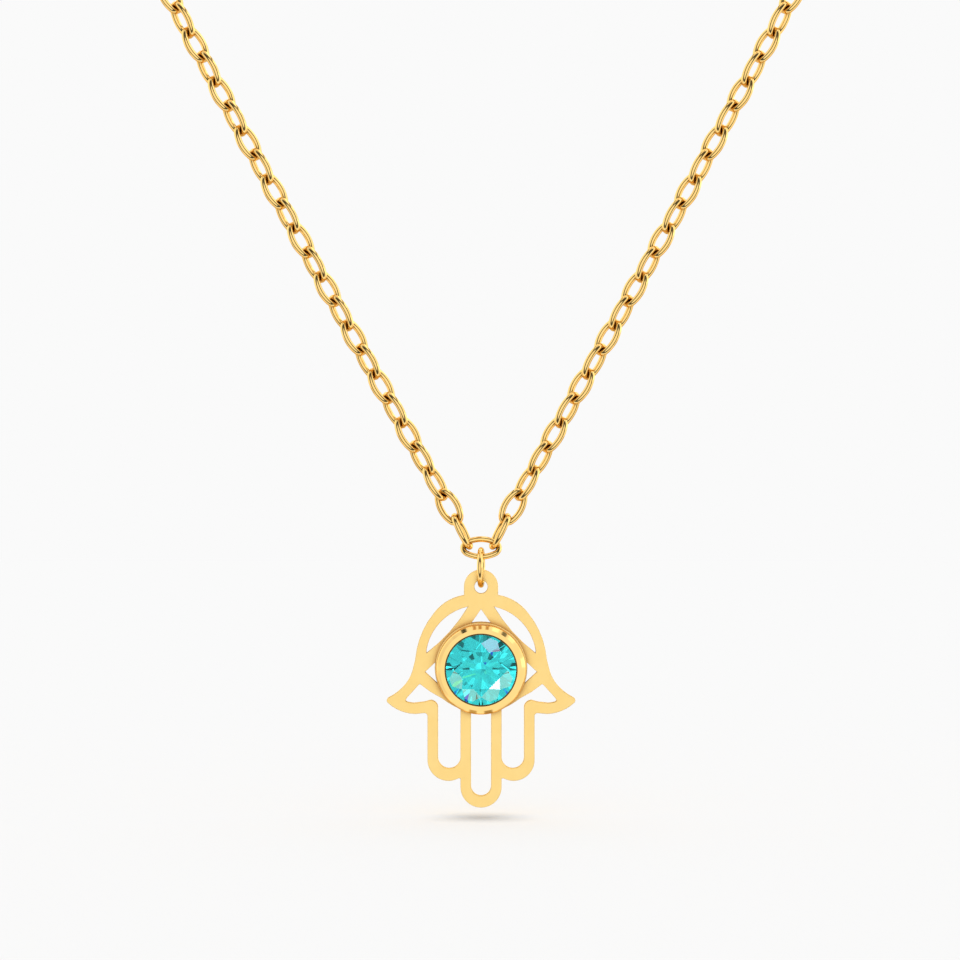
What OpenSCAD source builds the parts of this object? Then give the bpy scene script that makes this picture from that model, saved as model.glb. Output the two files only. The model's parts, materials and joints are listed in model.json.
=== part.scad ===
// Gold necklace: a pierced hand pendant with a round blue-green stone, on a jump ring from a cable chain.
// X is to the side, -Y is the front and Z is up. The origin is under the clasp, where the nape carries it.

/* [Hand] */
// Width across the two thumb tips
hand_w = 12.54; // [11.5:0.01:14]
// Height from the top of the loop to the middle fingertip
hand_h = 15.86; // [14.5:0.01:17.5]
// Thickness of the plate that the hand is cut from
plate_t = 0.6; // [0.5:0.01:0.65]
// Width of the bands that are left between the windows
band_w = 0.7; // [0.6:0.01:0.8]
// Width of the window in the middle finger
middle_gap_w = 1.34; // [1.1:0.01:1.6]
// Width of the window in each side finger
side_gap_w = 1.5; // [1.3:0.01:1.7]
// Radius of the tip of each side finger
side_tip_r = 1.4; // [1.3:0.01:1.5]
// How far the side fingertips end above the middle one
side_tip_rise = 1.78; // [1.4:0.01:2.2]
// Band at the tip of each side finger
side_tip_band = 0.82; // [0.7:0.01:0.95]
// Band at the tip of the middle finger
middle_tip_band = 0.77; // [0.65:0.01:0.9]
// Bore of the loop that the jump ring passes through
loop_hole_d = 0.88; // [0.84:0.01:1]

/* [Bezel] */
// Diameter of the bezel where it meets the plate
bezel_base_d = 6.17; // [6:0.01:6.6]
// Diameter of the bezel at its rounded shoulder
bezel_shoulder_d = 5.84; // [5.7:0.01:5.95]
// Diameter of the flat rim round the lip
bezel_flat_d = 5.32; // [5.2:0.01:5.45]
// How far the lip reaches over the edge of the stone
lip_cover = 0.12; // [0.08:0.01:0.16]
// Thickness of the lip
lip_t = 0.12; // [0.1:0.01:0.2]
// Drop of the rounded shoulder below the rim
shoulder_drop = 0.22; // [0.15:0.01:0.3]
// Width of the ledge that the stone sits on
seat_w = 0.43; // [0.35:0.01:0.5]

/* [Stone] */
// Diameter of the stone
stone_d = 5; // [4.9:0.01:5.05]
// Corner to corner size of the table as a share of the diameter
table_share = 0.525; // [0.5:0.005:0.6]
// Where the star facets end as a share of the diameter
star_share = 0.71; // [0.66:0.005:0.76]
// Slope of the crown's main facets
crown_angle = 34.5; // [31:0.5:37]
// Slope of the pavilion's main facets
pavilion_angle = 40.75; // [40:0.25:41.5]
// Height of the girdle
girdle_h = 0.07; // [0.05:0.01:0.1]
// Where the lower half facets end as a share of the diameter
lower_share = 0.17; // [0.14:0.01:0.24]
// How far the culet stays inside the back of the plate
culet_inset = 0.03; // [0.02:0.01:0.1]
// Gap between the stone and the metal
stone_gap = 0.08; // [0.06:0.01:0.1]

/* [Jump ring] */
// Inside diameter of the jump ring
ring_bore = 1.96; // [1.9:0.01:2.1]
// Wire of the jump ring
ring_wire_d = 0.38; // [0.34:0.01:0.4]
// Turn of the ring about the vertical, which brings its front a little to the left
ring_turn = 4; // [0:1:8]
// How far the loop's bore hangs clear above the ring's wire
hang_gap = 0.14; // [0.12:0.01:0.16]
// Play between the ring and the centre link's wire
ring_play = 0.11; // [0.1:0.01:0.14]

/* [Chain] */
// Wire of the links
wire_d = 0.36; // [0.32:0.01:0.37]
// Half the length of a link, to the middle of its wire
link_reach = 1.178; // [1.17:0.001:1.19]
// Play between two links that hook into each other
link_play = 0.14; // [0.13:0.005:0.16]
// Half the length of the centre link, which is a little longer than the others
centre_reach = 1.235; // [1.225:0.005:1.26]
// Lean of the centre link's lower side towards the front, from level
centre_lean = 72; // [70:1:74]
// Rise of each strand from level at its lower end
strand_slope = 60.5; // [60:0.1:61]
// Radius of the slight bow of the front of each strand
bow_r = 1330; // [1000:10:3000]
// Length of the front of each strand, up to the round stretch behind the neck
front_len = 106.29; // [100:0.01:125]

/* [Clasp] */
// Length of the barrel
barrel_l = 8; // [6:0.5:12]
// Diameter of the barrel
barrel_d = 2.4; // [2:0.1:3]
// Wire of the eye at each end of the barrel
eye_wire_d = 0.45; // [0.4:0.01:0.5]
// Radius of each eye, to the middle of its wire
eye_r = 0.75; // [0.7:0.01:0.85]
// Play between each eye and the last link of the strand
eye_play = 0.165; // [0.16:0.005:0.2]

/* [Hidden] */
$fn = 48;
gold = "gold";
satin_gold = "goldenrod";

// Link: four arcs that run into each other. An end arc's centre, a side arc's centre and the middle of the
// link make an 8, 15, 17 triangle, so the planes that part the arcs are exact.
link_unit = 0.09;
link_end_c = 8 * link_unit;
link_side_c = 15 * link_unit;
function end_r(reach) = reach - link_end_c;
function side_r(reach) = end_r(reach) + 17 * link_unit;
centre_half_w = side_r(centre_reach) - link_side_c;
pitch_max = 2 * link_reach - wire_d - link_play;

// First link of the left strand, which hooks into the centre link's end: its middle from the centre link's,
// its rise from level, its tilt out of the chain's plane and its roll about its own length
first_link = [-1.268, 0.07, 1.047];
first_slope = 63.1;
first_tilt = -5.8;
first_roll = 88;

// Roll of the links on the route. With no roll a link is flat in the chain's plane. The links go to and fro
// by a right angle, and the chain twists into that over its first links.
roll_a = -50.5;
roll_b = roll_a + 90;
lower_rolls = [-11, 67, -34, 44];
function link_roll(i) = i < len(lower_rolls) ? lower_rolls[i] : i % 2 == 0 ? roll_a : roll_b;

// Route of the left strand from the middle of its second link, in the plane of the chain, with the centre
// link's middle as zero: a slight bow up the front, and then a round stretch that ends level at the clasp.
start_x = -2.136;
start_z = 2.687;
eye_hook = (eye_wire_d + wire_d) / 2 + eye_play;
eye_c = barrel_l / 2 + eye_r - eye_wire_d / 4;
clasp_half = eye_c + eye_r;
front_turn = front_len / bow_r * 180 / PI;
neck_slope = strand_slope + front_turn;
neck_x = start_x - bow_r * (sin(neck_slope) - sin(strand_slope));
neck_z = start_z + bow_r * (cos(strand_slope) - cos(neck_slope));
neck_r = (-neck_x - clasp_half) / sin(neck_slope);
route_len = front_len + neck_r * (180 - neck_slope) * PI / 180;
route_top = neck_z + neck_r * (1 + cos(neck_slope));
steps = ceil((route_len - link_reach + eye_hook) / pitch_max);
pitch = (route_len - link_reach + eye_hook) / steps;

// Slope and place of the route at a length s along it
function slope_at(s) = s < front_len ? strand_slope + s / bow_r * 180 / PI
    : neck_slope + (s - front_len) / neck_r * 180 / PI;
function x_at(s) = s < front_len ? start_x - bow_r * (sin(slope_at(s)) - sin(strand_slope))
    : neck_x - neck_r * (sin(slope_at(s)) - sin(neck_slope));
function z_at(s) = s < front_len ? start_z + bow_r * (cos(strand_slope) - cos(slope_at(s)))
    : neck_z + neck_r * (cos(neck_slope) - cos(slope_at(s)));

// Heights and depths of what hangs in the middle. The jump ring hangs on the centre link's lower side.
centre_z = barrel_d / 2 - route_top;
low_side_y = -centre_half_w * cos(centre_lean);
low_side_z = centre_z - centre_half_w * sin(centre_lean);
ring_r = (ring_bore + ring_wire_d) / 2;
ring_z = low_side_z + (wire_d + ring_wire_d) / 2 + ring_play - ring_r;
ring_low_z = ring_z - ring_r;
hole_z = ring_low_z + ring_wire_d / 2 + hang_gap - loop_hole_d / 2;

// Hand, in its own plane: x to the side and y up, with zero at the middle of the bezel.
loop_r = loop_hole_d / 2 + band_w;
top_share = 0.4136;
hand_top = top_share * hand_h;
hand_low = hand_top - hand_h;
loop_y = hand_top - loop_r;
hand_z = hole_z - loop_y;
half_w = hand_w / 2;
middle_in_x = middle_gap_w / 2;
middle_out_x = middle_in_x + band_w;
side_in_x = middle_out_x + side_gap_w;
side_out_x = side_in_x + band_w;
middle_tip_y = hand_low + middle_out_x;
middle_gap_y = hand_low + middle_tip_band + middle_in_x;
side_tip_x = side_out_x - side_tip_r;
side_tip_y = hand_low + side_tip_rise + side_tip_r;
side_gap_x = middle_out_x + side_gap_w / 2;
side_gap_y = hand_low + side_tip_rise + side_tip_band + side_gap_w / 2;

// Outlines of the right half. Each row is x as a share of half the width, y as a share of the height, and
// the bulge to the left of the arc that comes from the row before, as a share of half the width.
neck_share = 0.3064;
shoulder_rows = [
    [0.510, 0.2264, 0.0388], [0.683, 0.0820, 0.0239], [0.734, -0.0158, -0.0064],
    [0.837, -0.0826, -0.0120], [0.989, -0.1255, -0.0083], [0.989, -0.1469, 0.0140],
    [0.699, -0.1930, 0.0287], [0.600, -0.1892, 0]];
finger_root_share = -0.2;
finger_root_bulge = -0.0064;
crescent_rows = [
    [0.138, 0.2583, 0], [0.582, 0.0731, 0.0998], [0.579, 0.0627, 0], [0.138, 0.2583, 0.0319]];
thumb_rows = [
    [0.649, -0.0675, 0], [0.680, -0.0780, 0.0030], [0.788, -0.1248, 0], [0.805, -0.1373, 0],
    [0.786, -0.1430, 0], [0.715, -0.1475, 0.0020], [0.604, -0.1425, 0], [0.536, -0.1352, 0]];
thumb_root_share = -0.1608;
thumb_root_bulge = -0.0169;
palm_share = -0.1728;
lid_rows = [[0.415, -0.1274, -0.0080], [0.649, -0.0675, -0.0085]];
side_corner = [0.596, -0.0164];
side_corner_slopes = [137, 222.5];
top_apex_share = 0.2475;
top_half_angle = 35;
notch_fill = 0.1;

arc_step = 7;
function turned(p, a) = [p.x * cos(a) - p.y * sin(a), p.x * sin(a) + p.y * cos(a)];
function arc_to(p, q, bulge) =
    bulge == 0 ? [q] :
    let (
        half = norm(q - p) / 2,
        sweep = -4 * atan(bulge / half),
        r = half / sin(sweep / 2),
        across = (q - p) / (2 * half),
        middle = (p + q) / 2 + turned(across, 90) * r * cos(sweep / 2),
        n = max(2, ceil(abs(sweep) / arc_step))
    ) [for (i = [1:n]) middle + turned(p - middle, sweep * i / n)];
function place(row) = [row[0] * half_w, row[1] * hand_h];
function along(p, rows, i = 0) =
    i == len(rows) ? [] :
    concat(arc_to(p, place(rows[i]), rows[i][2] * half_w), along(place(rows[i]), rows, i + 1));
function mirrored(points) = [for (i = [len(points) - 1:-1:0]) [-points[i].x, points[i].y]];

function half_outline() =
    let (
        neck = [loop_r, neck_share * hand_h],
        side_root = place(shoulder_rows[len(shoulder_rows) - 1]),
        finger_root = [side_out_x, finger_root_share * hand_h],
        notch_y = side_tip_y - sqrt(pow(side_tip_r, 2) - pow(side_tip_x - middle_out_x, 2))
    )
    concat(
        arc_to([0, hand_top], [loop_r, loop_y], loop_r * (1 - cos(45))),
        [neck],
        along(neck, shoulder_rows),
        arc_to(side_root, finger_root, finger_root_bulge * half_w),
        [for (a = [0:arc_step:180]) if (side_tip_x + side_tip_r * cos(a) > middle_out_x + notch_fill)
            [side_tip_x + side_tip_r * cos(a), side_tip_y - side_tip_r * sin(a)]],
        [[middle_out_x, notch_y - notch_fill], [middle_out_x, middle_tip_y]],
        arc_to([middle_out_x, middle_tip_y], [0, hand_low], middle_out_x * (1 - cos(45)))
    );

module both_sides() {
    children();
    mirror([1, 0]) children();
}

module finger_gap(x, half, low) {
    translate([x, low]) circle(half);
    translate([x - half, low]) square([2 * half, -low]);
}

module thumb_window() {
    start = place(thumb_rows[0]);
    corner = place(thumb_rows[len(thumb_rows) - 1]);
    thumb_root = [side_in_x, thumb_root_share * hand_h];
    palm = [middle_out_x, palm_share * hand_h];
    polygon(concat([start], along(start, thumb_rows),
        arc_to(corner, thumb_root, thumb_root_bulge * half_w),
        [[side_in_x, side_gap_y], [middle_out_x, side_gap_y], palm],
        along(palm, lid_rows)));
    translate([side_gap_x, side_gap_y]) circle(side_gap_w / 2);
}

module side_window() {
    tip = place(side_corner);
    polygon([tip, for (a = side_corner_slopes) tip + bezel_base_d / 4 * [cos(a), sin(a)]]);
}

module top_window() {
    apex = top_apex_share * hand_h;
    low = bezel_base_d / 2 - seat_w;
    w = (apex - low) * tan(top_half_angle);
    polygon([[0, apex], [w, low], [-w, low]]);
}

module hand_outline() {
    half = half_outline();
    difference() {
        polygon(concat(half, mirrored(half)));
        both_sides() {
            polygon(concat([place(crescent_rows[0])], along(place(crescent_rows[0]), crescent_rows)));
            thumb_window();
            side_window();
        }
        top_window();
        finger_gap(0, middle_in_x, middle_gap_y);
    }
}

// Heights in the setting, from the back of the plate towards the front
culet_h = culet_inset;
girdle_low_h = culet_h + stone_d / 2 * tan(pavilion_angle);
girdle_top_h = girdle_low_h + girdle_h;
lip_low_h = girdle_top_h + stone_gap + lip_cover;
rim_h = lip_low_h + lip_t;

// Turns a piece that is drawn flat, face up, to face the front at the hand's place
module at_hand() {
    translate([0, low_side_y + plate_t / 2, hand_z]) rotate([90, 0, 0]) children();
}

module bezel() {
    wall_r = stone_d / 2 + stone_gap;
    bore_r = wall_r - seat_w;
    seat_h = girdle_low_h - seat_w * tan(pavilion_angle);
    flat_r = bezel_flat_d / 2;
    shoulder_r = bezel_shoulder_d / 2;
    rounding = [for (a = [0:22.5:90])
        [shoulder_r - (shoulder_r - flat_r) * (1 - sin(a)), rim_h - shoulder_drop * (1 - cos(a))]];
    rotate_extrude()
        polygon(concat(
            [[bore_r, 0], [bezel_base_d / 2, 0], [bezel_base_d / 2, plate_t]],
            [for (i = [len(rounding) - 1:-1:0]) rounding[i]],
            [[stone_d / 2 - lip_cover, rim_h], [stone_d / 2 - lip_cover, lip_low_h],
             [wall_r, girdle_top_h + stone_gap], [wall_r, girdle_low_h], [bore_r, seat_h]]));
}

module hand_setting() {
    color(satin_gold) at_hand() {
        difference() {
            linear_extrude(plate_t) hand_outline();
            translate([0, 0, -plate_t]) cylinder(d = bezel_base_d - seat_w, h = 3 * plate_t);
            translate([0, loop_y, -plate_t]) cylinder(d = loop_hole_d, h = 3 * plate_t);
        }
        bezel();
    }
}

// Round brilliant: eight stars round the table, eight main facets and sixteen halves on the crown, and
// eight main facets with sixteen halves on the pavilion.
module stone() {
    r = stone_d / 2;
    crown = tan(crown_angle);
    pavilion = tan(pavilion_angle);
    table_r = table_share * r;
    star_r = star_share * r;
    lower_r = lower_share * r;
    main = [for (i = [0:7]) 22.5 + 45 * i];
    between = [for (i = [0:7]) 45 * i];
    function ring_point(radius, a, h) = [radius * cos(a), radius * sin(a), h];
    points = concat(
        [for (a = main) ring_point(table_r, a, girdle_top_h + (r - table_r) * crown)],
        [for (a = between) ring_point(star_r, a, girdle_top_h + (r - star_r * cos(22.5)) * crown)],
        [for (i = [0:15]) ring_point(r, 22.5 * i, girdle_top_h)],
        [for (i = [0:15]) ring_point(r, 22.5 * i, girdle_low_h)],
        [for (a = between) ring_point(lower_r, a, girdle_low_h - (r - lower_r * cos(22.5)) * pavilion)],
        [[0, 0, culet_h]]);
    star = 8;
    upper = 16;
    lower = 32;
    half = 48;
    culet = 56;
    faces = concat(
        [[for (i = [7:-1:0]) i]],
        [for (i = [0:7]) let (j = (i + 1) % 8) [i, j, star + j]],
        [for (i = [0:7]) let (j = (i + 1) % 8) [i, star + j, upper + 2 * i + 1, star + i]],
        [for (i = [0:7]) [star + i, upper + 2 * i + 1, upper + 2 * i]],
        [for (i = [0:7]) let (j = (i + 1) % 8) [star + j, upper + (2 * i + 2) % 16, upper + 2 * i + 1]],
        [for (i = [0:15]) let (j = (i + 1) % 16) [upper + i, upper + j, lower + j, lower + i]],
        [for (i = [0:7]) [half + i, lower + 2 * i, lower + 2 * i + 1]],
        [for (i = [0:7]) let (j = (i + 1) % 8) [half + j, lower + 2 * i + 1, lower + (2 * i + 2) % 16]],
        [for (i = [0:7]) let (j = (i + 1) % 8) [half + i, lower + 2 * i + 1, half + j, culet]]);
    color("turquoise") at_hand() polyhedron(points, faces);
}

module wire_ring(r, d) {
    rotate_extrude() translate([r, 0]) circle(d = d);
}

module end_arc(reach) {
    intersection() {
        translate([link_end_c, 0, 0]) mirror([1, 0, 0]) wire_ring(end_r(reach), wire_d);
        linear_extrude(2 * wire_d, center = true) polygon([
            [link_end_c, 0], [3 * link_end_c, 2 * link_side_c], [3 * link_end_c, -2 * link_side_c]]);
    }
}

module side_arc(reach) {
    intersection() {
        translate([0, -link_side_c, 0]) wire_ring(side_r(reach), wire_d);
        linear_extrude(2 * wire_d, center = true) polygon([
            [0, -link_side_c], [2 * link_end_c, link_side_c], [-2 * link_end_c, link_side_c]]);
    }
}

// Link with its length along X and its width along Y
module link(reach) {
    end_arc(reach);
    mirror([1, 0, 0]) end_arc(reach);
    side_arc(reach);
    mirror([0, 1, 0]) side_arc(reach);
}

module strand() {
    translate([0, 0, centre_z]) {
        translate(first_link) rotate([0, first_slope - 180, 0])
            rotate([first_roll - 90, 0, first_tilt]) link(link_reach);
        for (i = [0:steps])
            translate([x_at(i * pitch), 0, z_at(i * pitch)]) rotate([0, slope_at(i * pitch) - 180, 0])
                rotate([link_roll(i) - 90, 0, 0]) link(link_reach);
    }
}

module chain_left() {
    color(gold) strand();
}

module chain_right() {
    color(gold) mirror([1, 0, 0]) strand();
}

module centre_link() {
    color(gold) translate([0, 0, centre_z]) rotate([centre_lean, 0, 0]) link(centre_reach);
}

module jump_ring() {
    color(gold) translate([0, low_side_y, ring_z]) rotate([0, 0, -ring_turn]) rotate([0, 90, 0])
        wire_ring(ring_r, ring_wire_d);
}

// Plain barrel with a soldered eye at each end, for the hidden back of the chain
module clasp() {
    end_r = barrel_d / 4;
    color(gold) translate([0, 0, barrel_d / 2]) {
        rotate([0, 90, 0]) cylinder(d = barrel_d, h = barrel_l - 2 * end_r, center = true);
        for (side = [-1, 1]) {
            translate([side * (barrel_l / 2 - end_r), 0, 0]) rotate([0, side * 90, 0])
                cylinder(d1 = barrel_d, d2 = barrel_d / 2, h = end_r);
            translate([side * eye_c, 0, 0]) rotate([link_roll(steps), 0, 0]) wire_ring(eye_r, eye_wire_d);
        }
    }
}

chain_left();
chain_right();
centre_link();
clasp();
jump_ring();
hand_setting();
stone();
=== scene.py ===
"""Looks of the hand pendant on its chain: polished gold links, a satin gold hand and a blue-green brilliant.

Lengths are in metres. X is to the side, -Y is the front and Z is up, as in the frame.
"""

import json
import math

import bpy
import numpy as np
from mathutils import Matrix, Vector

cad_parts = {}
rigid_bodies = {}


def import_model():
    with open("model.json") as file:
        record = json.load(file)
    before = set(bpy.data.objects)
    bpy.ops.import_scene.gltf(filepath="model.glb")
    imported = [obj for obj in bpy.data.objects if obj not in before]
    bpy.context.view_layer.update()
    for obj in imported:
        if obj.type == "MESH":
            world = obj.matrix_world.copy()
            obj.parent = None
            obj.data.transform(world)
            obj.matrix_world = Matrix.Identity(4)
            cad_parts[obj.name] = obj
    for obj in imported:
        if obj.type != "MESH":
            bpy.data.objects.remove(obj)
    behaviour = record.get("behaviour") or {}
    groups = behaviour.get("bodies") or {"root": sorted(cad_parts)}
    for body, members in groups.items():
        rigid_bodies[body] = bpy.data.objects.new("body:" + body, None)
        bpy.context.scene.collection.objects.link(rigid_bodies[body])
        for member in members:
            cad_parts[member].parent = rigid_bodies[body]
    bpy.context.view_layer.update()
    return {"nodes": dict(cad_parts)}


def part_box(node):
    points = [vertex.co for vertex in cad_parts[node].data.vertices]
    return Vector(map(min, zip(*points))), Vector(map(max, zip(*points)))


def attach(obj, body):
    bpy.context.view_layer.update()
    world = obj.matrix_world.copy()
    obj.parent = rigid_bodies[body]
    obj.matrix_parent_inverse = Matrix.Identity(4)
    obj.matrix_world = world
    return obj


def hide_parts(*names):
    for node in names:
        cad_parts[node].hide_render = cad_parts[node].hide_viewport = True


for start_object in list(bpy.data.objects):
    bpy.data.objects.remove(start_object)

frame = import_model()

MM = 0.001

# Places that the frame gives
HAND_LOW, HAND_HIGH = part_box("hand_setting")
STONE_LOW, STONE_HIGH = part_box("stone")
RING_LOW, RING_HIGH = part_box("jump_ring")
CLASP_LOW, CLASP_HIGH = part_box("clasp")
CENTRE_LOW, CENTRE_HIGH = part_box("centre_link")
BEZEL_X = (STONE_LOW.x + STONE_HIGH.x) / 2
BEZEL_Z = (STONE_LOW.z + STONE_HIGH.z) / 2
PLATE_BACK = HAND_HIGH.y
RIM_FRONT = HAND_LOW.y

# Hand and bezel
PLATE_T = 0.6 * MM
EDGE_ROUND = 0.025 * MM
BEZEL_BASE_R = 3.05 * MM
FLAT_R = 2.69 * MM
CHAMFER_TILT = 40.2
CHAMFER_OUT_R = 2.87 * MM
WALL_ROUND = 0.26 * MM
LEDGE_Z = 0.9 * MM
LEDGE_ROUND = 0.03 * MM
LIP_R = 2.315 * MM
LIP_BEVEL_R = 2.41 * MM
LIP_FACE = 0.02 * MM
LIP_UNDER_R = 2.38 * MM
LIP_BEVEL_TILT = 24
LIP_T = 0.12 * MM
BORE_R = 2.15 * MM
SEAT_OUT_R = 2.58 * MM
SEAT_TOP = 0.2 * MM
SEAT_DEPTH = 0.9 * MM
SEAT_SLOPE_DROP = 0.33 * MM
BEZEL_PROUD = 0.008 * MM
PLATE_HOLE_R = 2.98 * MM
PLATE_HOLE_STEPS = 96
EDGE_ROUND_STEPS = 2
LATHE_STEPS = 192
ROUND_STEPS = 6

# Angles between faces, in degrees, above which an edge stays sharp
PLATE_SHARP = 30
LATHE_SHARP = 20
NEVER_SHARP = 180

# Links and rings
LINK_WIRE = 0.43 * MM
LINK_REACH = 1.14 * MM
LINK_HALF_WIDTH = 0.625 * MM
CENTRE_REACH = 1.195 * MM
CENTRE_HALF_WIDTH = 0.65 * MM
CENTRE_WIRE = 0.39 * MM
CENTRE_LEAN = 63
CENTRE_DROP = 0.05 * MM
SIDE_SHARE = 28.07  # half of the turn along a long side, in degrees
LINK_SIDES = 12
END_STEPS = 14
SIDE_STEPS = 10
LOWER_TURNS = [-9, -13.4, -12.2, -16.5, -4.5]  # further roll of each strand's lowest links
RING_WIRE = 0.385 * MM
RING_STEPS = 96
RING_SIDES = 20
RING_TURN = -4
LOOP_MIDDLE_Z = -50 * MM
NEARLY_LEVEL = 1e-3

# Steps to which corners of the frame's meshes are rounded, so that shared ones are found
OUTLINE_SNAP = 0.5e-6
LINK_SNAP = 1e-6

# Clasp: half of its outline as (distance along, radius) in millimetres, from the seam to the end
CLASP_OUTLINE = [(0, 1.13), (0.05, 1.13), (0.09, 1.19), (0.14, 1.2), (2.2, 1.2), (2.25, 1.19),
                 (2.3, 1.13), (2.38, 1.13), (2.43, 1.19), (2.5, 1.2), (2.85, 1.2), (2.92, 1.19),
                 (2.97, 1.13), (3.05, 1.13), (3.1, 1.19), (3.15, 1.2), (3.34, 1.2), (3.41, 1.18),
                 (3.47, 1.13), (3.93, 0.67), (3.98, 0.6), (4, 0.54), (4, 0.06)]
EYE_R = 0.75 * MM
EYE_WIRE = 0.45 * MM
EYE_ROLL = 39.5
EYE_STEPS = 64

# Camera and room
CAMERA_DISTANCE = 185 * MM
CAMERA_X = -0.07 * MM
CAMERA_RISE = 12.54 * MM
VIEW_WIDTH = 64 * MM
SENSOR = 36
CLIP_NEAR = 1 * MM
CLIP_FAR = 10
FLOOR_DROP = 9.95 * MM
FLOOR_HALF = 0.6
BACKGROUND = 0.956

# Gold: its noises, as (scale per metre, detail), and where on them the dark and the light colour lie
COLOUR_DRIFT = (900, 4)
COLOUR_STOPS = (0.3, 0.7)
ROUGHNESS_DRIFT = (2500, 5)
SCRATCH_DETAIL = 2
SCRATCH_STRETCH = (1, 1, 0.08)
SCRATCH_DEPTH = 0.01 * MM
# Rays of the ambient occlusion that places the painted shade in the gold's hollows
PAINTED_SHADE_SAMPLES = 8

# Stone
GEM_IOR = 2.2
GEM_DRIFT = (1800, 2)
GEM_COLOURS = [(0.35, (0.185, 0.9, 0.88)), (0.5, (0.235, 0.96, 0.92)), (0.65, (0.21, 0.91, 0.91))]
GEM_DEPTH = (0.45, 0.91, 0.93)
GEM_DENSITY = 450.0

# What metal mirrors: the room's level by angle from the front, and strips that darken or brighten it where
# the bezel's chamfer mirrors them: (azimuth on the bezel, half width, near end, far end, shade), where the
# ends are angles from the front
METAL_STRENGTH = 1.13
METAL_ROOM = [(0, 1.0), (31, 1.0), (37, 0.08), (57, 0.08), (63, 1.0), (84, 1.0), (98, 1.2), (150, 1.2),
              (165, 0.6), (180, 0.55)]
STROKE = (0.52, 0.32, 0.16)
METAL_STRIPS = [(57, 3.7, 62, 125, 0.2), (113.8, 3.7, 62, 125, 0.08), (10, 6, 62, 160, 1.45),
                (45, 5, 62, 160, 1.3), (70, 4.5, 62, 160, 1.45), (150, 22, 62, 95, 0.85),
                (81.6, 2.2, 64, 125, STROKE), (91.4, 2.2, 64, 125, STROKE), (98.9, 2.2, 64, 125, STROKE),
                (200, 16, 62, 95, 0.85), (125, 7, 62, 95, 0.85), (268, 72, 92, 160, (0.72, 0.58, 0.42)),
                (238, 9, 88, 150, 0.7), (259, 4.5, 84, 135, (0.5, 0.38, 0.2)),
                (280, 5, 84, 135, (0.38, 0.28, 0.15)), (303, 9, 88, 150, 0.7), (203, 7, 88, 150, 0.7),
                (336, 7, 88, 150, 0.7)]
STRIP_SOFTNESS = 0.35
STRIP_END_SOFTNESS = 3
LEAST_ASIDE = 0.0001

# What is seen through the stone: the room's level by angle from the front, and round cards that darken,
# brighten or colour it: (angle from the front, azimuth, radius, softness, shade). Most rows were found by a
# least-squares fit of the traced stone to the photograph, then rounded and changed. They hold for the
# front view only.
STONE_STRENGTH = 1.0
STONE_ROOM = [(0, 1.1), (50, 1.1), (65, 0.8), (85, 0.8), (100, 1.5), (180, 1.5)]
STONE_CARDS = [(29, 310, 18, 1, 1.45), (37, 90, 18, 1, 0.65), (57, 94, 18, 1, 2.0), (47, 147, 18, 1, 0.5),
               (62, 27, 18, 1, 0.15), (62, 156, 18, 1, 0.08), (32, 124, 8, 1, 0.6), (31, 66, 6, 1, 0.4),
               (37, 80, 8, 1, 1.7), (52, 69, 5, 1, 0.05), (12, 0, 5, 1, 1.2), (47, 131, 18, 1, 1.5),
               (52, 130, 12, 1, 0.05), (36, 288, 6, 1, 1.2), (42, 117, 12, 1, 0.6), (24, 106, 4, 1, 0.35),
               (24, 74, 4, 1, 0.5), (35, 18, 5, 1, 0.5), (32, 112, 5, 1, 0.5), (20, 315, 5, 1, 1.15),
               (56, 62, 3.5, 0.5, 1.8), (62, 82, 5, 1, 1.6), (56, 192, 3.5, 0.5, 3.0), (11, 28, 3, 0.5, 1.5),
               (35, 76, 3.5, 0.5, 1.9), (50, 37, 5, 1, 1.5), (11, 212, 3.5, 0.5, 1.6), (29, 245, 2, 0.5, 0.1),
               (57, 126, 3, 0.5, (5, 6, 17)), (57, 54, 3, 0.5, (1.0, 0.45, 1.5)),
               (12, 206, 1.5, 0.4, (0.3, 0.12, 0.6)), (15, 141, 2, 0.5, (2.4, 1.3, 0.8))]

# What the stone's polished facets mirror: a dim room with a card for single facets (azimuth, tilt, shade)
SHEEN_LEVEL = 0.08
SHEEN_RADIUS = 2.5
SHEEN_SOFTNESS = 0.3
SHEEN_CARDS = [(-45, 21.8, (85, 85, 85)), (67.5, 34.5, (24, 9, 19)), (-22.5, 34.5, (18, 10, 4)),
               (-67.5, 34.5, (16, 9, 3)), (-112.5, 34.5, (16, 9, 3)), (-157.5, 34.5, (16, 9, 3))]

# What lights the floor: a bluish dome and a warm lamp, which together give the backdrop's white. The gold
# throws warm light into the shadow, and the bluish dome keeps it grey.
DOME = (0.535, 0.6, 0.68)
FLOOR_ALBEDO = 0.8
OVERHEAD_HALF_ANGLE = 11.5
OVERHEAD_FROM = Vector((0, -0.13, 1)).normalized()
OVERHEAD_SHARE = math.sin(math.radians(OVERHEAD_HALF_ANGLE)) ** 2 * OVERHEAD_FROM.z
OVERHEAD_RADIANCE = [(BACKGROUND / FLOOR_ALBEDO - level) / OVERHEAD_SHARE for level in DOME]


def new_object(name, verts, faces, mat, smooth_angle=None):
    mesh = bpy.data.meshes.new(name)
    mesh.from_pydata([tuple(v) for v in verts], [], [tuple(f) for f in faces])
    mesh.update()
    if smooth_angle is not None:
        mesh.shade_smooth()
        mesh.set_sharp_from_angle(angle=math.radians(smooth_angle))
    obj = bpy.data.objects.new(name, mesh)
    bpy.context.scene.collection.objects.link(obj)
    obj.data.materials.append(mat)
    return obj


# Materials

def material(name):
    mat = bpy.data.materials.new(name)
    mat.use_nodes = True
    tree = mat.node_tree
    shader = tree.nodes["Principled BSDF"]
    return mat, tree, shader


def node(tree, kind, **settings):
    made = tree.nodes.new(kind)
    for key, value in settings.items():
        if key in made.inputs:
            made.inputs[key].default_value = value
        else:
            setattr(made, key, value)
    return made


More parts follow.
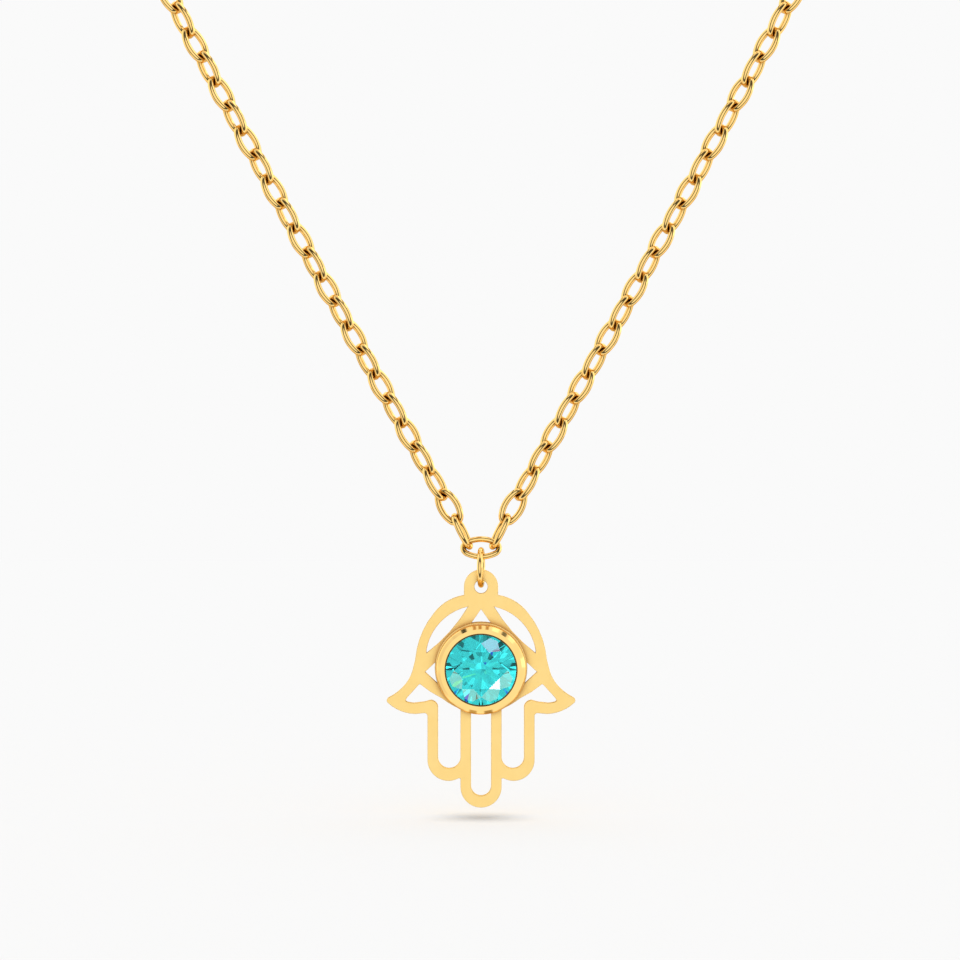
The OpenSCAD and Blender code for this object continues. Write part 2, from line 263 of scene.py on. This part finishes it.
def maths(tree, operation, a, b=0.0, c=0.0):
    made = tree.nodes.new("ShaderNodeMath")
    made.operation = operation
    for socket, value in zip(made.inputs, (a, b, c)):
        if isinstance(value, (int, float)):
            socket.default_value = value
        else:
            tree.links.new(value, socket)
    return made.outputs[0]


def object_noise(tree, scale, detail, stretch=(1, 1, 1)):
    place = node(tree, "ShaderNodeTexCoord").outputs["Object"]
    mapping = node(tree, "ShaderNodeMapping")
    mapping.inputs["Scale"].default_value = stretch
    tree.links.new(place, mapping.inputs["Vector"])
    noise = node(tree, "ShaderNodeTexNoise", Scale=scale, Detail=detail)
    tree.links.new(mapping.outputs[0], noise.inputs["Vector"])
    return noise.outputs["Fac"]


def ramp(tree, value, stops):
    made = tree.nodes.new("ShaderNodeValToRGB")
    elements = made.color_ramp.elements
    while len(elements) > 1:
        elements.remove(elements[-1])
    for i, (place, colour) in enumerate(stops):
        element = elements[0] if i == 0 else elements.new(place)
        element.position = place
        element.color = (*colour, 1)
    tree.links.new(value, made.inputs["Fac"])
    return made.outputs["Color"]


def gold(name, light, dark, roughness, spread, scratch, bump, painted_shade, reach, edge, painted_shade_span=(0.15, 0.85)):
    """Gold with a slow drift of colour, a finer drift of roughness, hairline scratches and painted shade.

    scratch is the scale of the scratches and bump their strength. The colour after bump is painted
    shade, mixed into hollows where ambient occlusion finds other surfaces within reach, and the last
    argument gives the open shares that are all painted shade and all gold. edge tints grazing views.
    """
    mat, tree, shader = material(name)
    shader.inputs["Metallic"].default_value = 1.0
    shader.inputs["Specular Tint"].default_value = (*edge, 1)
    colour = ramp(tree, object_noise(tree, *COLOUR_DRIFT), list(zip(COLOUR_STOPS, (dark, light))))
    # Painted shade: a dark colour mixed into the gold where ambient occlusion is low, in hollows and between
    # parts
    occlusion = node(tree, "ShaderNodeAmbientOcclusion", samples=PAINTED_SHADE_SAMPLES, Distance=reach)
    open_share = node(tree, "ShaderNodeMapRange")
    tree.links.new(occlusion.outputs["AO"], open_share.inputs["Value"])
    open_share.inputs["From Min"].default_value = painted_shade_span[0]
    open_share.inputs["From Max"].default_value = painted_shade_span[1]
    mix = node(tree, "ShaderNodeMix", data_type="RGBA")
    tree.links.new(open_share.outputs["Result"], mix.inputs["Factor"])
    mix.inputs["A"].default_value = (*painted_shade, 1)
    tree.links.new(colour, mix.inputs["B"])
    tree.links.new(mix.outputs["Result"], shader.inputs["Base Color"])
    cloud = object_noise(tree, *ROUGHNESS_DRIFT)
    rough = maths(tree, "MULTIPLY_ADD", cloud, spread, roughness - spread / 2)
    tree.links.new(rough, shader.inputs["Roughness"])
    hair = object_noise(tree, scratch, SCRATCH_DETAIL, SCRATCH_STRETCH)
    relief = node(tree, "ShaderNodeBump", Strength=bump, Distance=SCRATCH_DEPTH)
    tree.links.new(hair, relief.inputs["Height"])
    tree.links.new(relief.outputs[0], shader.inputs["Normal"])
    return mat


# Each gold gets painted shade in its hollows, in the dark colour given after bump
polished_gold = gold("polished_gold", light=(0.98, 0.68, 0.255), dark=(0.95, 0.63, 0.21), roughness=0.09,
                     spread=0.04, scratch=9000, bump=0.02, painted_shade=(0.3, 0.12, 0.02), reach=0.35 * MM,
                     edge=(1, 0.85, 0.5))
satin_gold = gold("satin_gold", light=(0.99, 0.715, 0.275), dark=(0.98, 0.69, 0.25), roughness=0.36,
                  spread=0.06, scratch=14000, bump=0.1, painted_shade=(0.32, 0.12, 0.02), reach=0.5 * MM,
                  edge=(1, 0.7, 0.3), painted_shade_span=(0.32, 0.92))
bezel_gold = gold("bezel_gold", light=(0.97, 0.665, 0.25), dark=(0.95, 0.63, 0.22), roughness=0.085,
                  spread=0.03, scratch=9000, bump=0.02, painted_shade=(0.12, 0.07, 0.025), reach=0.15 * MM,
                  edge=(1, 0.65, 0.3))


def gem():
    mat, tree, shader = material("blue_green_stone")
    shader.inputs["Transmission Weight"].default_value = 1.0
    shader.inputs["IOR"].default_value = GEM_IOR
    shader.inputs["Roughness"].default_value = 0.0
    colour = ramp(tree, object_noise(tree, *GEM_DRIFT), GEM_COLOURS)
    tree.links.new(colour, shader.inputs["Base Color"])
    depth = node(tree, "ShaderNodeVolumeAbsorption", Density=GEM_DENSITY)
    depth.inputs["Color"].default_value = (*GEM_DEPTH, 1)
    tree.links.new(depth.outputs[0], tree.nodes["Material Output"].inputs["Volume"])
    return mat


# Hand plate: the outlines of the frame's flat back, raised to the plate's thickness with eased edges

def flat_outlines(name, y):
    """Closed outlines, as lists of (x, z), of a node's flat face in the plane y."""
    snap = OUTLINE_SNAP
    mesh = frame["nodes"][name].data
    mesh.calc_loop_triangles()
    points = np.array([v.co for v in mesh.vertices])
    keys = [tuple(k) for k in np.round(points / snap).astype(int)]
    uses = {}
    for tri in mesh.loop_triangles:
        if all(abs(points[v][1] - y) < snap for v in tri.vertices):
            corners = [keys[v] for v in tri.vertices]
            for a, b in zip(corners, corners[1:] + corners[:1]):
                if (b, a) in uses:
                    del uses[(b, a)]
                else:
                    uses[(a, b)] = True
    following = {a: b for a, b in uses}
    outlines = []
    while following:
        first, nxt = following.popitem()
        outline = [first]
        while nxt != first:
            outline.append(nxt)
            nxt = following.pop(nxt)
        outlines.append([(x * snap, z * snap) for x, _, z in outline])
    return outlines


def hand_plate():
    curve = bpy.data.curves.new("hand_plate", "CURVE")
    curve.dimensions = "2D"
    curve.fill_mode = "BOTH"
    curve.extrude = PLATE_T / 2 - EDGE_ROUND
    curve.bevel_depth = EDGE_ROUND
    curve.bevel_resolution = EDGE_ROUND_STEPS
    curve.offset = -EDGE_ROUND
    bore = [(BEZEL_X + PLATE_HOLE_R * math.cos(a), BEZEL_Z + PLATE_HOLE_R * math.sin(a))
            for a in np.linspace(0, 2 * math.pi, PLATE_HOLE_STEPS, endpoint=False)]
    for outline in flat_outlines("hand_setting", PLATE_BACK):
        far = max(math.hypot(x - BEZEL_X, z - BEZEL_Z) for x, z in outline)
        points = bore if far < PLATE_HOLE_R else outline
        spline = curve.splines.new("POLY")
        spline.points.add(len(points) - 1)
        for point, (x, z) in zip(spline.points, points):
            point.co = (x, z - BEZEL_Z, 0, 1)
        spline.use_cyclic_u = True
    flat = bpy.data.objects.new("hand_plate_curve", curve)
    bpy.context.scene.collection.objects.link(flat)
    bpy.context.view_layer.update()
    mesh = bpy.data.meshes.new_from_object(flat.evaluated_get(bpy.context.evaluated_depsgraph_get()))
    bpy.data.objects.remove(flat)
    upright = Matrix.Rotation(math.pi / 2, 4, "X")
    mesh.transform(Matrix.Translation((0, PLATE_BACK - PLATE_T / 2, BEZEL_Z)) @ upright)
    mesh.shade_smooth()
    mesh.set_sharp_from_angle(angle=math.radians(PLATE_SHARP))
    mesh.materials.clear()
    mesh.materials.append(satin_gold)
    obj = bpy.data.objects.new("hand_plate", mesh)
    bpy.context.scene.collection.objects.link(obj)
    return obj


# Turned pieces

def arc(centre, radius, start, end):
    return [(centre[0] + radius * math.cos(math.radians(a)), centre[1] + radius * math.sin(math.radians(a)))
            for a in np.linspace(start, end, ROUND_STEPS + 1)]


def turned(name, profile, to_place, mat):
    """Turns a closed profile of (radius, height) points about the height axis and sets it in place."""
    verts, faces = [], []
    count = len(profile)
    for i in range(LATHE_STEPS):
        a = 2 * math.pi * i / LATHE_STEPS
        verts += [to_place @ Vector((r * math.cos(a), r * math.sin(a), h)) for r, h in profile]
    for i in range(LATHE_STEPS):
        j = (i + 1) % LATHE_STEPS
        for k in range(count):
            m = (k + 1) % count
            faces.append((i * count + k, j * count + k, j * count + m, i * count + m))
    return new_object(name, verts, faces, mat, LATHE_SHARP)


def facing_front(y):
    return Matrix.Translation((BEZEL_X, y, BEZEL_Z)) @ Matrix.Rotation(math.pi / 2, 4, "X")


def bezel():
    """Cup with a seat and a lip for the stone, a flat rim, a chamfer, a wall and a ledge at its foot."""
    rim = PLATE_BACK - RIM_FRONT
    seat = rim - LIP_T - SEAT_DEPTH
    low = rim - (CHAMFER_OUT_R - FLAT_R) * math.tan(math.radians(CHAMFER_TILT))
    turn = arc((CHAMFER_OUT_R - WALL_ROUND * math.sin(math.radians(CHAMFER_TILT)),
                low - WALL_ROUND * math.cos(math.radians(CHAMFER_TILT))), WALL_ROUND, 90 - CHAMFER_TILT, 0)
    shoulder = [(FLAT_R, rim)] + turn
    edge = rim - (LIP_BEVEL_R - LIP_R) * math.tan(math.radians(LIP_BEVEL_TILT))
    lip = [(LIP_UNDER_R, rim - LIP_T), (LIP_R, edge - LIP_FACE), (LIP_R, edge), (LIP_BEVEL_R, rim)]
    ledge = arc((BEZEL_BASE_R - LEDGE_ROUND, LEDGE_Z - LEDGE_ROUND), LEDGE_ROUND, 0, 90)
    profile = (
        [(BORE_R, -BEZEL_PROUD), (BEZEL_BASE_R, -BEZEL_PROUD)]
        + ledge + [(turn[-1][0], LEDGE_Z)]
        + shoulder[::-1] + lip[::-1]
        + [(SEAT_OUT_R, rim - LIP_T - SEAT_TOP), (SEAT_OUT_R, seat), (BORE_R, seat - SEAT_SLOPE_DROP)]
    )
    return turned("bezel", profile, facing_front(PLATE_BACK), bezel_gold)


# Wire pieces

def swept_ring(path, normal_axis, wire, sides):
    """Vertices and faces of a closed tube along a flat closed path."""
    verts, faces = [], []
    count = len(path)
    for i, point in enumerate(path):
        along = (path[(i + 1) % count] - path[i - 1]).normalized()
        out = along.cross(normal_axis).normalized()
        for k in range(sides):
            a = 2 * math.pi * k / sides
            verts.append(point + wire / 2 * (out * math.cos(a) + normal_axis * math.sin(a)))
    for i in range(count):
        j = (i + 1) % count
        for k in range(sides):
            m = (k + 1) % sides
            faces.append((i * sides + k, j * sides + k, j * sides + m, i * sides + m))
    return verts, faces


def oval_path(reach, half_width):
    """Middle line of a link: two tight ends and two long sides that run into each other."""
    spread = 90 - SIDE_SHARE
    # An end arc of radius r about (c, 0) and a side arc of radius s about (0, -d) meet at angle spread
    # from the x axis. Both centres lie on the line where they meet, k apart, so s = r + k.
    sin_h, cos_h = math.sin(math.radians(SIDE_SHARE)), math.cos(math.radians(SIDE_SHARE))
    k = (reach - half_width) / (sin_h + cos_h - 1)
    c, d = k * sin_h, k * cos_h
    r = reach - c
    s = r + k
    half = []
    for a in np.linspace(-spread, spread, END_STEPS, endpoint=False):
        half.append((c + r * math.cos(math.radians(a)), r * math.sin(math.radians(a))))
    for a in np.linspace(SIDE_SHARE, -SIDE_SHARE, SIDE_STEPS, endpoint=False):
        half.append((s * math.sin(math.radians(a)), s * math.cos(math.radians(a)) - d))
    return [Vector((x, y, 0)) for x, y in half + [(-x, -y) for x, y in half]]


def link_shape(reach, half_width, wire):
    return swept_ring(oval_path(reach, half_width), Vector((0, 0, 1)), wire, LINK_SIDES)


def link_places(name):
    """Place of each loose link of a chain node, in no order: its middle, with X along it and Z across it."""
    mesh = frame["nodes"][name].data
    points = np.empty(len(mesh.vertices) * 3)
    mesh.vertices.foreach_get("co", points)
    points = points.reshape(-1, 3)
    snapped, same = np.unique(np.round(points / LINK_SNAP).astype(int), axis=0, return_inverse=True)
    same = same.ravel()
    edges = np.empty(len(mesh.edges) * 2, int)
    mesh.edges.foreach_get("vertices", edges)
    edges = same[edges].reshape(-1, 2)
    group = np.arange(len(snapped))
    while True:
        low = np.minimum(group[edges[:, 0]], group[edges[:, 1]])
        nxt = group.copy()
        np.minimum.at(nxt, edges[:, 0], low)
        np.minimum.at(nxt, edges[:, 1], low)
        nxt = nxt[nxt]
        if (nxt == group).all():
            break
        group = nxt
    places = []
    corners = snapped * LINK_SNAP
    for label in np.unique(group):
        cloud = corners[group == label]
        middle = (cloud.min(0) + cloud.max(0)) / 2
        spread = np.linalg.svd(cloud - cloud.mean(0), full_matrices=False)[2]
        length, width = Vector(spread[0]), Vector(spread[1])
        if length.z < 0 or (abs(length.z) < NEARLY_LEVEL and length.x > 0):
            length = -length
        across = length.cross(width)
        turn = Matrix((length, width, across)).transposed().to_4x4()
        places.append(Matrix.Translation(middle) @ turn)
    return places


def chain(name):
    """All the links of one strand, as one piece."""
    side = -1 if name.endswith("left") else 1
    places = sorted(link_places(name), key=lambda m: route_key(m.translation, side))
    shape = link_shape(LINK_REACH, LINK_HALF_WIDTH, LINK_WIRE)
    verts, faces = [], []
    for i, place in enumerate(places):
        turn = side * -LOWER_TURNS[i] if i < len(LOWER_TURNS) else 0
        place = place @ Matrix.Rotation(math.radians(turn), 4, "X")
        start = len(verts)
        verts += [place @ v for v in shape[0]]
        faces += [[start + k for k in face] for face in shape[1]]
    obj = new_object(name + "_links", verts, faces, polished_gold, NEVER_SHARP)
    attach(obj, "necklace")
    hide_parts(name)


def route_key(point, side):
    """Grows along a strand from the pendant, up the front and round the neck."""
    return math.atan2(side * point.x, LOOP_MIDDLE_Z - point.z)


def centre_link():
    verts, faces = link_shape(CENTRE_REACH, CENTRE_HALF_WIDTH, CENTRE_WIRE)
    middle = (CENTRE_LOW + CENTRE_HIGH) / 2 - Vector((0, 0, CENTRE_DROP))
    lean = Matrix.Rotation(math.radians(CENTRE_LEAN), 4, "X")
    obj = new_object("centre_link_oval", [Matrix.Translation(middle) @ lean @ v for v in verts], faces,
                     polished_gold, NEVER_SHARP)
    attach(obj, "necklace")
    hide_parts("centre_link")


def round_path(radius, steps):
    return [Vector((radius * math.cos(a), radius * math.sin(a), 0))
            for a in np.linspace(0, 2 * math.pi, steps, endpoint=False)]


def jump_ring():
    middle = (RING_LOW + RING_HIGH) / 2
    radius = (RING_HIGH.z - RING_LOW.z) / 2 - RING_WIRE / 2
    verts, faces = swept_ring(round_path(radius, RING_STEPS), Vector((0, 0, 1)), RING_WIRE, RING_SIDES)
    turn = Matrix.Rotation(math.radians(RING_TURN), 4, "Z") @ Matrix.Rotation(math.pi / 2, 4, "Y")
    place = Matrix.Translation(middle) @ turn
    obj = new_object("jump_ring_wire", [place @ v for v in verts], faces, polished_gold, NEVER_SHARP)
    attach(obj, "ring")
    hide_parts("jump_ring")


def clasp():
    """Two halves of a barrel with a seam, a collar and a soldered eye at each end."""
    middle = (CLASP_LOW + CLASP_HIGH) / 2
    half = [(radius * MM, along * MM) for along, radius in CLASP_OUTLINE]
    profile = [(radius, -along) for radius, along in half[::-1]] + half[1:]
    along = Matrix.Translation(middle) @ Matrix.Rotation(math.pi / 2, 4, "Y")
    pieces = [turned("clasp_barrel", profile, along, polished_gold)]
    roll = Matrix.Rotation(math.radians(EYE_ROLL), 4, "X")
    for side, name in ((-1, "clasp_eye_left"), (1, "clasp_eye_right")):
        verts, faces = swept_ring(round_path(EYE_R, EYE_STEPS), Vector((0, 0, 1)), EYE_WIRE, RING_SIDES)
        reach = (CLASP_HIGH.x - CLASP_LOW.x) / 2 - EYE_R - EYE_WIRE / 2
        place = Matrix.Translation(middle + Vector((side * reach, 0, 0))) @ roll
        pieces.append(new_object(name, [place @ v for v in verts], faces, polished_gold, NEVER_SHARP))
    for piece in pieces:
        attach(piece, "necklace")
        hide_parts("clasp")


plate = hand_plate()
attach(plate, "pendant")
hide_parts("hand_setting")

cup = bezel()
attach(cup, "pendant")
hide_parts("hand_setting")

stone = frame["nodes"]["stone"]
stone.data.materials.clear()
stone.data.materials.append(gem())

chain("chain_left")
chain("chain_right")
centre_link()
jump_ring()
clasp()


# Room

def floor():
    z = BEZEL_Z - FLOOR_DROP
    half = FLOOR_HALF
    obj = new_object("floor", [(-half, -half, z), (half, -half, z), (half, half, z), (-half, half, z)],
                     [(0, 1, 2, 3)], floor_material())
    obj.visible_glossy = False
    obj.visible_transmission = False
    return obj


def floor_material():
    mat, _, shader = material("floor")
    shader.inputs["Base Color"].default_value = (*grey(FLOOR_ALBEDO), 1)
    shader.inputs["Roughness"].default_value = 1.0
    shader.inputs["Specular IOR Level"].default_value = 0.0
    return mat


def lamp_for(name, receivers, direction, radiance, half_angle, blockers):
    """A soft distant lamp that lights the receivers only, past all but the blockers.

    direction points to the lamp, and radiance is a colour.
    """
    data = bpy.data.lights.new(name, "SUN")
    data.angle = math.radians(2 * half_angle)
    peak = max(radiance)
    data.color = [level / peak for level in radiance]
    data.energy = peak * math.pi * math.sin(math.radians(half_angle)) ** 2
    obj = bpy.data.objects.new(name, data)
    obj.rotation_euler = Vector(direction).to_track_quat("Z", "Y").to_euler()
    bpy.context.scene.collection.objects.link(obj)
    lit = bpy.data.collections.new(name + "_lights")
    for piece in receivers:
        lit.objects.link(piece)
    obj.light_linking.receiver_collection = lit
    shading = bpy.data.collections.new(name + "_blockers")
    for piece in blockers:
        shading.objects.link(piece)
    obj.light_linking.blocker_collection = shading


def mirrored(azimuth, tilt):
    """Direction in which a face at that azimuth, tilted back from the front, mirrors the camera's look."""
    look = Vector((CAMERA_X, -CAMERA_DISTANCE, CAMERA_RISE)).normalized()
    normal = from_front(tilt, azimuth)
    return 2 * look.dot(normal) * normal - look


def from_front(angle, azimuth):
    """Direction at that angle from the front, towards that azimuth."""
    a, t = math.radians(azimuth), math.radians(angle)
    return Vector((math.sin(t) * math.cos(a), -math.cos(t), math.sin(t) * math.sin(a)))


def card(tree, direction, level, aim, radius, soft, shade):
    """Multiplies the room's level by a shade inside a round patch about the aim."""
    dot = node(tree, "ShaderNodeVectorMath", operation="DOT_PRODUCT")
    tree.links.new(direction, dot.inputs[0])
    dot.inputs[1].default_value = aim
    edge = node(tree, "ShaderNodeMapRange", interpolation_type="SMOOTHSTEP")
    tree.links.new(dot.outputs["Value"], edge.inputs["Value"])
    edge.inputs["From Min"].default_value = math.cos(math.radians(radius + soft))
    edge.inputs["From Max"].default_value = math.cos(math.radians(max(radius - soft, 0)))
    return shaded(tree, level, edge.outputs["Result"], shade)


def shaded(tree, level, share, shade):
    """Multiplies the level by a shade, a grey or a colour, as far as share goes from 0 to 1."""
    mix = node(tree, "ShaderNodeMix", data_type="RGBA", blend_type="MULTIPLY")
    tree.links.new(share, mix.inputs["Factor"])
    tree.links.new(level, mix.inputs["A"])
    colour = grey(shade) if isinstance(shade, (int, float)) else shade
    mix.inputs["B"].default_value = (*colour, 1)
    return mix.outputs["Result"]


def step(tree, value, low, high):
    """Goes smoothly from 0 at low to 1 at high; low may be above high."""
    made = node(tree, "ShaderNodeMapRange", interpolation_type="SMOOTHSTEP")
    tree.links.new(value, made.inputs["Value"])
    made.inputs["From Min"].default_value = low
    made.inputs["From Max"].default_value = high
    return made.outputs["Result"]


def strip(tree, direction, depth, aside, level, azimuth, half_width, near, far, shade):
    """Multiplies the room's level by a shade on a strip that runs from near to far.

    direction is that of the ray, depth how far back it goes, from 0 to 1, and aside how far it goes from
    the line to the front. near and far are angles from the front.
    """
    aim = mirrored(azimuth, CHAMFER_TILT)
    flat = Vector((aim.x, 0, aim.z)).normalized()
    dot = node(tree, "ShaderNodeVectorMath", operation="DOT_PRODUCT")
    tree.links.new(direction, dot.inputs[0])
    dot.inputs[1].default_value = flat
    turn = maths(tree, "DIVIDE", dot.outputs["Value"], aside)
    outer = math.cos(math.radians(half_width * (1 + STRIP_SOFTNESS)))
    inner = math.cos(math.radians(half_width * (1 - STRIP_SOFTNESS)))
    share = step(tree, turn, outer, inner)
    soft = STRIP_END_SOFTNESS
    for low, high in ((near - soft, near + soft), (far + soft, far - soft)):
        within = step(tree, depth, depth_at(low), depth_at(high))
        share = maths(tree, "MULTIPLY", share, within)
    return shaded(tree, level, share, shade)


def grey(value):
    return (value, value, value)


def depth_at(angle):
    """How far back a direction at that angle from the front lies, from 0 to 1."""
    return (1 - math.cos(math.radians(angle))) / 2


def world():
    """The room, which differs for metal, the stone's inside, its facets, the floor and the camera."""
    made = bpy.data.worlds.new("room")
    made.cycles.sampling_method = "NONE"
    bpy.context.scene.world = made
    made.use_nodes = True
    tree = made.node_tree
    tree.nodes.clear()
    direction = node(tree, "ShaderNodeTexCoord").outputs["Generated"]
    split = node(tree, "ShaderNodeSeparateXYZ")
    tree.links.new(direction, split.inputs[0])
    depth = maths(tree, "MULTIPLY_ADD", split.outputs["Y"], 0.5, 0.5)
    stops = [(depth_at(angle), grey(value)) for angle, value in METAL_ROOM]
    level = ramp(tree, depth, stops)
    along_squared = maths(tree, "MULTIPLY", split.outputs["Y"], split.outputs["Y"])
    aside_squared = maths(tree, "MAXIMUM", maths(tree, "SUBTRACT", 1.0, along_squared), LEAST_ASIDE)
    aside = maths(tree, "SQRT", aside_squared)
    for settings in METAL_STRIPS:
        level = strip(tree, direction, depth, aside, level, *settings)
    metal_light = node(tree, "ShaderNodeBackground", Strength=METAL_STRENGTH)
    tree.links.new(level, metal_light.inputs["Color"])

    stops = [(depth_at(angle), grey(value)) for angle, value in STONE_ROOM]
    level = ramp(tree, depth, stops)
    for angle, azimuth, radius, soft, shade in STONE_CARDS:
        level = card(tree, direction, level, from_front(angle, azimuth), radius, soft, shade)
    stone_light = node(tree, "ShaderNodeBackground", Strength=STONE_STRENGTH)
    tree.links.new(level, stone_light.inputs["Color"])

    level = node(tree, "ShaderNodeRGB").outputs[0]
    level.default_value = (*grey(SHEEN_LEVEL), 1)
    for azimuth, tilt, shade in SHEEN_CARDS:
        level = card(tree, direction, level, mirrored(azimuth, tilt), SHEEN_RADIUS, SHEEN_SOFTNESS, shade)
    sheen_light = node(tree, "ShaderNodeBackground", Strength=1.0)
    tree.links.new(level, sheen_light.inputs["Color"])

    dome = node(tree, "ShaderNodeBackground", Strength=1.0)
    dome.inputs["Color"].default_value = (*DOME, 1)
    seen = node(tree, "ShaderNodeBackground", Strength=1.0)
    seen.inputs["Color"].default_value = (*grey(BACKGROUND), 1)
    path = node(tree, "ShaderNodeLightPath")
    light = metal_light.outputs[0]
    for flag, other in (("Is Singular Ray", sheen_light), ("Is Transmission Ray", stone_light),
                        ("Is Diffuse Ray", dome), ("Is Camera Ray", seen)):
        mix = node(tree, "ShaderNodeMixShader")
        tree.links.new(path.outputs[flag], mix.inputs[0])
        tree.links.new(light, mix.inputs[1])
        tree.links.new(other.outputs[0], mix.inputs[2])
        light = mix.outputs[0]
    out = node(tree, "ShaderNodeOutputWorld")
    tree.links.new(light, out.inputs["Surface"])


def camera():
    data = bpy.data.cameras.new("camera")
    data.sensor_width = SENSOR
    data.lens = SENSOR * CAMERA_DISTANCE / VIEW_WIDTH
    data.clip_start = CLIP_NEAR
    data.clip_end = CLIP_FAR
    obj = bpy.data.objects.new("camera", data)
    obj.location = (CAMERA_X, PLATE_BACK - PLATE_T - CAMERA_DISTANCE, BEZEL_Z + CAMERA_RISE)
    obj.rotation_euler = (math.pi / 2, 0, 0)
    bpy.context.scene.collection.objects.link(obj)
    bpy.context.scene.camera = obj


ground = floor()
world()
camera()
# Only the stone shades this lamp, which gives a short soft shadow. The plate would give a long thin one.
lamp_for("overhead", [ground], OVERHEAD_FROM, OVERHEAD_RADIANCE, OVERHEAD_HALF_ANGLE, [stone])
bpy.context.scene.view_settings.view_transform = "Standard"
